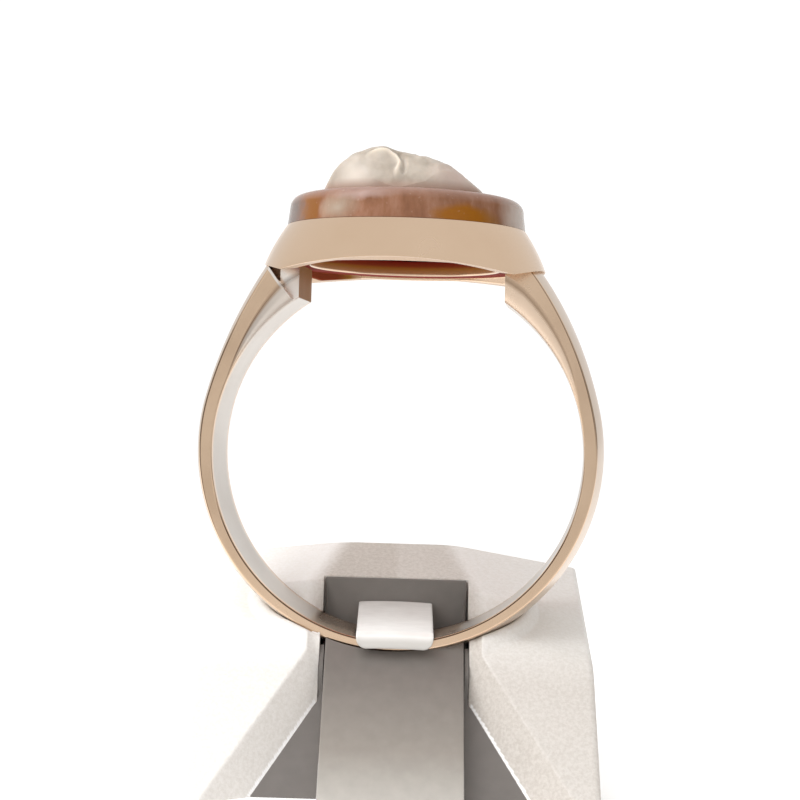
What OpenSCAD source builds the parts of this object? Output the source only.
// Cameo ring standing upright in a small display stand. Lengths are millimetres.
// +X runs across the head of the ring, +Y runs away through the finger hole, +Z is up.
// The origin is on the surface the stand rests on, straight below the middle of the finger hole.

/* [Shank] */
// Inside diameter of the finger hole
bore_d = 17; // [15:0.1:20]
// Width of the band along the finger
band_w = 4.15; // [3:0.05:6]
// Thickness of the band's edge at the bottom
shank_bottom_t = 0.44; // [0.35:0.01:0.8]
// Thickness of the band's edge at the sides
shank_side_t = 0.58; // [0.5:0.01:1.1]
// Height of the band's domed outside above its edges
band_crown = 0.35; // [0.2:0.01:0.5]
// Height at the sides, in degrees above level, where the flatter shoulders begin
shoulder_from = 15; // [5:1:25]
// Width of the shoulders where they meet the head
shoulder_w = 5; // [4:0.1:6]
// Clear width between the two ends of the shank, under the head
ends_gap = 9.45; // [8.8:0.05:10]
// Turn of the ring on its stand, in degrees, far side to the right
ring_turn = 5; // [-10:1:10]

/* [Head] */
// Width of the head across the finger, at its lower rim
head_w = 13; // [12:0.1:15]
// Length of the head along the finger, at its lower rim
head_l = 14.7; // [12:0.1:18]
// Height of the lower rim above the top of the finger hole
head_rise = 0.1; // [0.05:0.05:0.6]
// Height of the head's wall above its lower rim
head_h = 1.82; // [1.5:0.02:2.6]
// How far the wall leans in from the lower rim to the top
head_lean = 0.96; // [0.5:0.02:1.2]
// Thickness of the thin rim around the cameo
rim_t = 0.15; // [0.1:0.01:0.3]
// Depth of the cameo's seat below the head's top
seat_depth = 1.07; // [0.6:0.01:1.2]
// Thickness of the ledge the cameo sits on
ledge_t = 0.5; // [0.3:0.05:0.7]
// Width of the ledge around the open back
ledge_w = 1; // [0.7:0.05:1.4]
// Thickness of the head's skirt below the ledge
skirt_t = 0.75; // [0.5:0.05:1]
// How far the rim dips from the middle of each end to the corners
end_arch = 0.6; // [0.3:0.05:1]
// How far the rim dips from the middle of each side to the corners
side_arch = 0.4; // [0.2:0.05:0.8]

/* [Cameo] */
// Height of the brown layer above the head's top
ground_rise = 1.38; // [0.8:0.02:2]
// Radius of the brown layer's upper edge
ground_round = 0.65; // [0.2:0.05:0.8]
// How far the brown layer's side leans in above the rim
ground_lean = 0.16; // [0:0.02:0.4]
// Clearance around and under the cameo
cameo_gap = 0.02; // [0.01:0.01:0.05]
// Highest point of the carving above the brown layer
relief_h = 2.1; // [1:0.05:3]

/* [Stand] */
// Width of the stand
stand_w = 18; // [16:0.5:24]
// Distance from the middle of the ring back to the stand's rear
stand_rear = 6.7; // [5.5:0.1:10]
// Height of the finger hole's middle above the stand's foot
ring_height = 14.8; // [13:0.1:20]
// Height of the crest, where the ring rests, below the middle of the finger hole
crest_drop = 8.23; // [8:0.01:8.6]
// Slope of the top behind the ring, in degrees
top_slope = 22.4; // [10:0.1:30]
// Sideways fall of the two flanks, in degrees
flank_fall = 7.7; // [2:0.1:15]
// Width of the flat between the flanks, at the stand's rear
rear_flat_w = 5.5; // [4:0.1:8]
// Width of the flat between the flanks, at the crest
crest_flat_w = 10.6; // [9:0.1:14]
// Slope of the front below the ring, in degrees
front_slope = 48; // [40:1:60]
// Width of the slot the shank stands in
slot_w = 6.6; // [6:0.1:8]
// Depth of the flared mouth in the front, square to its face
mouth_depth = 1.2; // [0.6:0.1:2]
// Half the spread of the flared mouth, in degrees
mouth_spread = 28; // [15:1:35]
// Clearance between the ring and the stand
rest_gap = 0.05; // [0.03:0.01:0.1]

/* [Insert and clip] */
// Width of the grey insert
insert_w = 6.3; // [5:0.1:7]
// Depth of the insert's face below the stand's front face
insert_drop = 0.27; // [0.1:0.01:0.6]
// Thickness of the insert's upright rear wall
insert_wall = 0.3; // [0.2:0.05:0.5]
// Width of the clip strip
clip_w = 3.5; // [2.5:0.1:4.5]
// Thickness of the clip strip
clip_t = 0.35; // [0.25:0.01:0.45]
// Clearance between the clip's leg and the insert's wall behind it
clip_clear = 0.07; // [0.05:0.01:0.5]

/* [Hidden] */
$fn = 64;

bore_r = bore_d / 2;
outer_lift = shank_side_t - shank_bottom_t;
outer_r = bore_r + shank_side_t;
ridge_r = outer_r + band_crown;
crown_r = (pow(band_w / 2, 2) + pow(band_crown, 2)) / (2 * band_crown);

head_a = head_w / 2;
head_b = head_l / 2;
head_ratio = head_l / head_w;
rim_z = bore_r + head_rise;
top_z = rim_z + head_h;
top_a = head_a - head_lean;
seat_z = top_z - seat_depth;
ledge_z = seat_z - ledge_t;
pocket_a = top_a - rim_t;
open_a = pocket_a - ledge_w;
skirt_a = head_a - skirt_t;
lean_per_mm = head_lean / head_h;

// Rise of a chord's middle, turned into the radius of its arc
function arc_radius(half, rise) = (half * half + rise * rise) / (2 * rise);
end_arch_r = arc_radius(0.85 * head_a, end_arch);
side_arch_r = arc_radius(0.6 * head_b, side_arch);

// Shoulder arc of the ridge line: it leaves the round band in one line and ends under the rim
tuck = 0.06;
shoulder_dir = [cos(shoulder_from), sin(shoulder_from)];
shoulder_start = [0, outer_lift] + ridge_r * shoulder_dir;
shoulder_end = [head_a - tuck, rim_z];
shoulder_chord = shoulder_end - shoulder_start;
shoulder_r = -(shoulder_chord * shoulder_chord) / (2 * (shoulder_chord * shoulder_dir));
shoulder_centre = shoulder_start - shoulder_r * shoulder_dir;

ends_top = ledge_z + 0.1;
ends_half = ends_gap / 2;
sweep_end = 180 - atan((ends_half - 0.3) / ends_top);
sweep_shoulder = 90 + atan(shoulder_start[1] / shoulder_start[0]);
sweep_steps = 62;
across = [-1, -0.67, -0.33, 0, 0.33, 0.67, 1];

foot_z = -ring_height;
crest_z = -crest_drop;
crest_y = -band_w / 2;
big = 60;

// Distance from the bore's middle to a circle, along a direction in the ring's plane
function reach(centre, radius, dir) =
    let (along = centre * dir)
    along + sqrt(along * along - centre * centre + radius * radius);

function smooth_share(t) = let (c = max(0, min(1, t))) c * c * (3 - 2 * c);

// Ridge distance at an angle measured from the bottom of the ring
function ridge_at(phi) =
    let (dir = [sin(abs(phi)), -cos(phi)])
    abs(phi) < sweep_shoulder ? reach([0, outer_lift], ridge_r, dir) : reach(shoulder_centre, shoulder_r, dir);

function half_width_at(phi) =
    let (share = (abs(phi) - sweep_shoulder) / (sweep_end - sweep_shoulder))
    (band_w + (shoulder_w - band_w) * smooth_share(share)) / 2;

function crown_drop(y) = crown_r - sqrt(crown_r * crown_r - y * y);

// Outside distance at an angle and a place across the band, flat under the head
function outside_at(phi, y) =
    let (free = ridge_at(phi) - crown_drop(y))
    abs(phi) < 120 ? free : min(free, ends_top / -cos(phi));

function band_point(phi, y, r) = [r * sin(phi), y, -r * cos(phi)];

// One section of the band: its domed outside, then the two inner corners
function band_section(phi) =
    let (hw = half_width_at(phi), inner = bore_r - 0.3)
    concat(
        [for (t = across) band_point(phi, t * hw, outside_at(phi, t * hw))],
        [band_point(phi, hw, inner), band_point(phi, -hw, inner)]
    );

// Closed skin over a row of sections that have the same number of points
module skin(sections) {
    count = len(sections[0]);
    last = len(sections) - 1;
    points = [for (s = sections) for (p = s) p];
    sides = [
        for (i = [0:last - 1]) for (j = [0:count - 1])
            let (k = (j + 1) % count, a = i * count, b = (i + 1) * count)
            each [[a + j, b + j, b + k], [a + j, b + k, a + k]]
    ];
    hub = count - 1;
    start_cap = [for (j = [0:count - 3]) [hub, j, j + 1]];
    end_cap = [for (j = [0:count - 3]) [last * count + hub, last * count + j + 1, last * count + j]];
    polyhedron(points, concat(sides, start_cap, end_cap), convexity = 6);
}

module oval(a, h) {
    scale([1, head_ratio, 1]) cylinder(r = a, h = h);
}

// The ring's own frame, turned on the stand and lifted to its height
module at_ring() {
    translate([0, 0, ring_height]) rotate([0, 0, -ring_turn]) children();
}

module at_bore() {
    translate([0, 0, ring_height]) children();
}

module along_finger(r, h) {
    rotate([90, 0, 0]) cylinder(r = r, h = h, center = true);
}

// Flared oval wall, with an open back and arched lower rim
module head_shell() {
    low = max(end_arch, side_arch);
    difference() {
        translate([0, 0, rim_z - low])
            scale([1, head_ratio, 1])
                cylinder(r1 = head_a + low * lean_per_mm, r2 = top_a, h = low + head_h);
        translate([0, 0, rim_z + tuck / 2 - end_arch_r]) along_finger(end_arch_r, big);
        translate([0, 0, rim_z - side_arch_r]) rotate([0, 90, 0]) cylinder(r = side_arch_r, h = big, center = true);
        translate([0, 0, seat_z]) oval(pocket_a, seat_depth + 1);
        translate([0, 0, ledge_z - 1]) oval(open_a, ledge_t + 2);
        translate([0, 0, ledge_z - 5]) oval(skirt_a, 5);
    }
}

// Small open notch on the left, between the shank's slanted end and the head
notch_depth = 0.55;

module end_notch() {
    translate([0, -shoulder_w / 2 + notch_depth, 0])
        rotate([90, 0, 0])
            linear_extrude(2 * notch_depth)
                polygon([
                    [-head_a + 0.2, rim_z],
                    [-ends_half - 0.88, rim_z - 1.03],
                    [-ends_half - 0.6, rim_z - 0.9],
                    [-ends_half - 0.75, rim_z - 0.15],
                ]);
}

module ring_mount() {
    color("#cfb59a") at_ring() difference() {
        union() {
            head_shell();
            skin([for (i = [0:sweep_steps]) band_section(sweep_end * (2 * i / sweep_steps - 1))]);
        }
        along_finger(bore_r, big);
        translate([-ends_half, -band_w, 0]) cube([ends_gap, 2 * band_w, ledge_z]);
        end_notch();
    }
}

ground_a = pocket_a - cameo_gap;
ground_z = seat_z + cameo_gap;
ground_top = top_z + ground_rise;
edge_steps = 5;
oval_sides = 60;

// Level ring of the brown layer's skin, at a half width and a height
function oval_section(a, z) =
    [for (j = [0:oval_sides - 1]) let (turn = -360 * j / oval_sides) [a * cos(turn), head_ratio * a * sin(turn), z]];

module cameo_ground() {
    rounding = [
        for (i = [0:edge_steps])
            let (turn = 90 * i / edge_steps)
            [
                ground_a - ground_lean - ground_round * (1 - cos(turn)),
                ground_top - ground_round * (1 - sin(turn)),
            ]
    ];
    profile = concat([[ground_a, ground_z], [ground_a, top_z]], rounding);
    color("#a57c63") at_ring() skin([for (p = profile) oval_section(p[0], p[1])]);
}

// Outline of the carved bust seen from above: angle from the right, share of the flat top's reach.
// 90 is the top of the head and 270 the foot of the bust.
outline_rows = [
    [0, 0.16], [20, 0.26], [34, 0.40], [47, 0.56], [64, 0.69], [75, 0.80], [90, 0.86], [99, 0.84],
    [119, 0.77], [132, 0.69], [150, 0.66], [160, 0.43], [176, 0.25], [195, 0.27], [206, 0.60], [213, 0.90],
    [231, 0.96], [252, 0.95], [270, 0.94], [287, 0.95], [309, 0.96], [325, 0.90], [331, 0.58], [345, 0.20],
    [360, 0.16],
];

// Swellings of the carving: across and along as shares of the flat top's half width and half length,
// their half widths as shares too, and height as a share of the carving's height
swelling_rows = [
    // hair
    [-0.11, 0.50, 0.33, 0.31, 0.81],
    // knot of hair
    [-0.39, 0.33, 0.15, 0.14, 0.71],
    // face
    [0.15, 0.39, 0.20, 0.25, 0.62],
    // neck
    [-0.02, -0.12, 0.22, 0.25, 0.60],
    // near shoulder with the cloth over it
    [-0.33, -0.58, 0.37, 0.29, 1.00],
    // chest
    [0.22, -0.58, 0.42, 0.27, 0.64],
];

flat_a = ground_a - ground_lean - ground_round;
flat_b = flat_a * head_ratio;
// Least height of the carving at its own edge, as a share of its full height
relief_edge = 0.08;
relief_rings = 14;
relief_spokes = 96;

function row_value(rows, x, i = 0) =
    x <= rows[i + 1][0]
        ? let (t = smooth_share((x - rows[i][0]) / (rows[i + 1][0] - rows[i][0])))
          rows[i][1] + (rows[i + 1][1] - rows[i][1]) * t
        : row_value(rows, x, i + 1);

function swelling(row, u, v) =
    let (d = pow((u - row[0]) / row[2], 2) + pow((v - row[1]) / row[3], 2))
    row[4] * exp(-0.7 * d);

// Height share of the carving at a place given in shares of the flat top
function carving(u, v) =
    let (cubes = [for (row = swelling_rows) pow(swelling(row, u, v), 3)])
    pow(cubes * [for (row = swelling_rows) 1], 1 / 3);

function relief_point(ring, spoke) =
    let (
        angle = 360 * spoke / relief_spokes,
        out = ring / relief_rings,
        reach_share = row_value(outline_rows, angle) * out,
        u = reach_share * cos(angle),
        v = reach_share * sin(angle),
        edge = sqrt(max(0, 1 - pow(out, 6)))
    )
    [u * flat_a, v * flat_b, relief_h * min(1, (carving(u, v) + relief_edge) * edge)];

module cameo_relief() {
    n = relief_spokes;
    points = [for (i = [1:relief_rings]) for (j = [0:n - 1]) relief_point(i, j)];
    upper = [
        for (i = [0:relief_rings - 2]) for (j = [0:n - 1])
            let (k = (j + 1) % n, a = 1 + i * n, b = 1 + (i + 1) * n)
            each [[a + j, a + k, b + k], [a + j, b + k, b + j]]
    ];
    crown = [for (j = [0:n - 1]) [0, 1 + (j + 1) % n, 1 + j]];
    base = [[for (j = [0:n - 1]) 1 + (relief_rings - 1) * n + j]];
    color("#dccfbd") at_ring()
        translate([0, 0, ground_top + cameo_gap])
            polyhedron(concat([relief_point(0, 0)], points), concat(crown, upper, base), convexity = 6);
}

// Everything below the plane z = point.z + slope_x * x + slope_y * y, measured from a point
module below_plane(point, slope_x, slope_y) {
    normal = [-slope_x, -slope_y, 1] / norm([slope_x, slope_y, 1]);
    translate(point)
        rotate([0, acos(normal[2]), atan2(normal[1], normal[0])])
            translate([-big / 2, -big / 2, -big]) cube(big);
}

rear_z = crest_z + tan(top_slope) * (stand_rear - crest_y);
rear_flat = rear_flat_w / 2;
crest_flat = crest_flat_w / 2;
flank_slope = tan(flank_fall);
flank_rise = (rear_z - crest_z - flank_slope * (crest_flat - rear_flat)) / (stand_rear - crest_y);
slot_half = slot_w / 2;

// The turned band swings back by this much at the clip's edge. Behind it come the clip's leg,
// the insert's wall and the slot's rear wall, each a clearance apart.
swing = sin(abs(ring_turn)) * clip_w / 2;
leg_gap = 0.2;
leg_y = band_w / 2 + swing + leg_gap;
wall_front = leg_y + clip_t + clip_clear;
wall_rear = wall_front + insert_wall;
slot_rear = wall_rear + rest_gap;

// Flared mouth in the steep front, wider and higher at the face than at its floor.
// Its upper corners lie this far up the slope and out from the slot, and shift by this much per depth.
mouth_start = 0.9;
mouth_lip = 0.7;
mouth_shift = 1.94;
mouth_reach = 16;

module mouth_plate(level) {
    corner_x = slot_half + mouth_lip * (1 + 0.86 * level);
    corner_s = mouth_start - mouth_shift * level;
    end_x = corner_x + tan(mouth_spread) * (mouth_reach - corner_s);
    translate([0, 0, mouth_depth * level])
        linear_extrude(0.01)
            polygon([[-corner_x, -corner_s], [corner_x, -corner_s], [end_x, -mouth_reach], [-end_x, -mouth_reach]]);
}

module mouth() {
    translate([0, crest_y, crest_z])
        rotate([front_slope, 0, 0])
            hull() {
                mouth_plate(-1);
                mouth_plate(1);
            }
}

// Round groove for the lower part of the band
module cradle() {
    r = outer_r + rest_gap;
    hw = band_w / 2 + rest_gap;
    rotate([0, 0, -ring_turn])
        translate([0, 0, outer_lift])
            rotate([90, 0, 0])
                rotate_extrude()
                    polygon([
                        [0, -hw], [r, -hw], [r + 0.75 * band_crown, -hw / 2], [r + band_crown, 0],
                        [r + 0.75 * band_crown, hw / 2], [r, hw], [0, hw],
                    ]);
}

module stand_body() {
    front = crest_y - (ring_height - crest_drop) / tan(front_slope);
    color("#eeece8") at_bore() difference() {
        intersection() {
            translate([-stand_w / 2, front, foot_z]) cube([stand_w, stand_rear - front, ring_height]);
            below_plane([0, crest_y, crest_z], 0, tan(top_slope));
            below_plane([crest_flat, crest_y, crest_z], -flank_slope, flank_rise);
            below_plane([-crest_flat, crest_y, crest_z], flank_slope, flank_rise);
            below_plane([0, crest_y, crest_z], 0, tan(front_slope));
        }
        translate([-slot_half, front - 1, foot_z - 1]) cube([slot_w, slot_rear - front + 1, ring_height]);
        mouth();
        cradle();
    }
}

// Side outline, along the finger and up, drawn out across the finger
module across_finger(w, outline) {
    translate([-w / 2, 0, 0]) rotate([90, 0, 90]) linear_extrude(w) polygon(outline);
}

// The insert's floor under the band, its blunt nose behind the front face and its wall below the stand's top
pad_gap = 0.15;
nose_back = 0.38;
nose_len = 0.25;
wall_below = 0.3;
pad_z = -(outer_r - outer_lift + band_crown + pad_gap);

module stand_insert() {
    face_z = crest_z - insert_drop / cos(front_slope);
    slope = tan(front_slope);
    nose_y = crest_y - nose_back;
    nose_z = face_z + slope * (nose_y - crest_y);
    toe_y = crest_y - (face_z - foot_z) / slope;
    wall_top = crest_z + tan(top_slope) * (slot_rear - crest_y) - wall_below;
    color("#8c8781") at_bore() across_finger(insert_w, [
        [toe_y, foot_z], [wall_rear, foot_z], [wall_rear, wall_top], [wall_front, wall_top],
        [wall_front, pad_z], [nose_y + nose_len, pad_z], [nose_y, nose_z],
    ]);
}

// The curl's clear space before the band, height of the strip's back above the band's inside,
// inner radius of the curl and straight end below it
curl_gap = 0.03;
clip_rise = 0.77;
curl_r = 0.25;
curl_end = 0.32;

// Strip that stands behind the shank, leans forward over it and curls down in front of it
module clip_tab() {
    curl_y = -(band_w / 2 + swing + curl_gap);
    over_z = -sqrt(bore_r * bore_r - clip_w * clip_w / 4) + rest_gap;
    outer_bend = curl_r + clip_t;
    bend_z = over_z - curl_r;
    end_z = bend_z - curl_end;
    function bend(r) = [for (i = [0:4]) let (a = 90 + 22.5 * i) [curl_y + r * cos(a), bend_z + r * sin(a)]];
    function back(r) = [for (i = [4:-1:0]) let (a = 90 + 22.5 * i) [curl_y + r * cos(a), bend_z + r * sin(a)]];
    color("#f1efeb") at_bore() across_finger(clip_w, concat(
        [[leg_y, pad_z + rest_gap], [leg_y + clip_t, pad_z + rest_gap], [leg_y + clip_t, over_z + clip_rise + clip_t]],
        bend(outer_bend),
        [[curl_y - outer_bend, end_z], [curl_y - curl_r, end_z]],
        back(curl_r),
        [[leg_y, over_z + clip_rise]]
    ));
}

ring_mount();
cameo_ground();
cameo_relief();
stand_body();
stand_insert();
clip_tab();
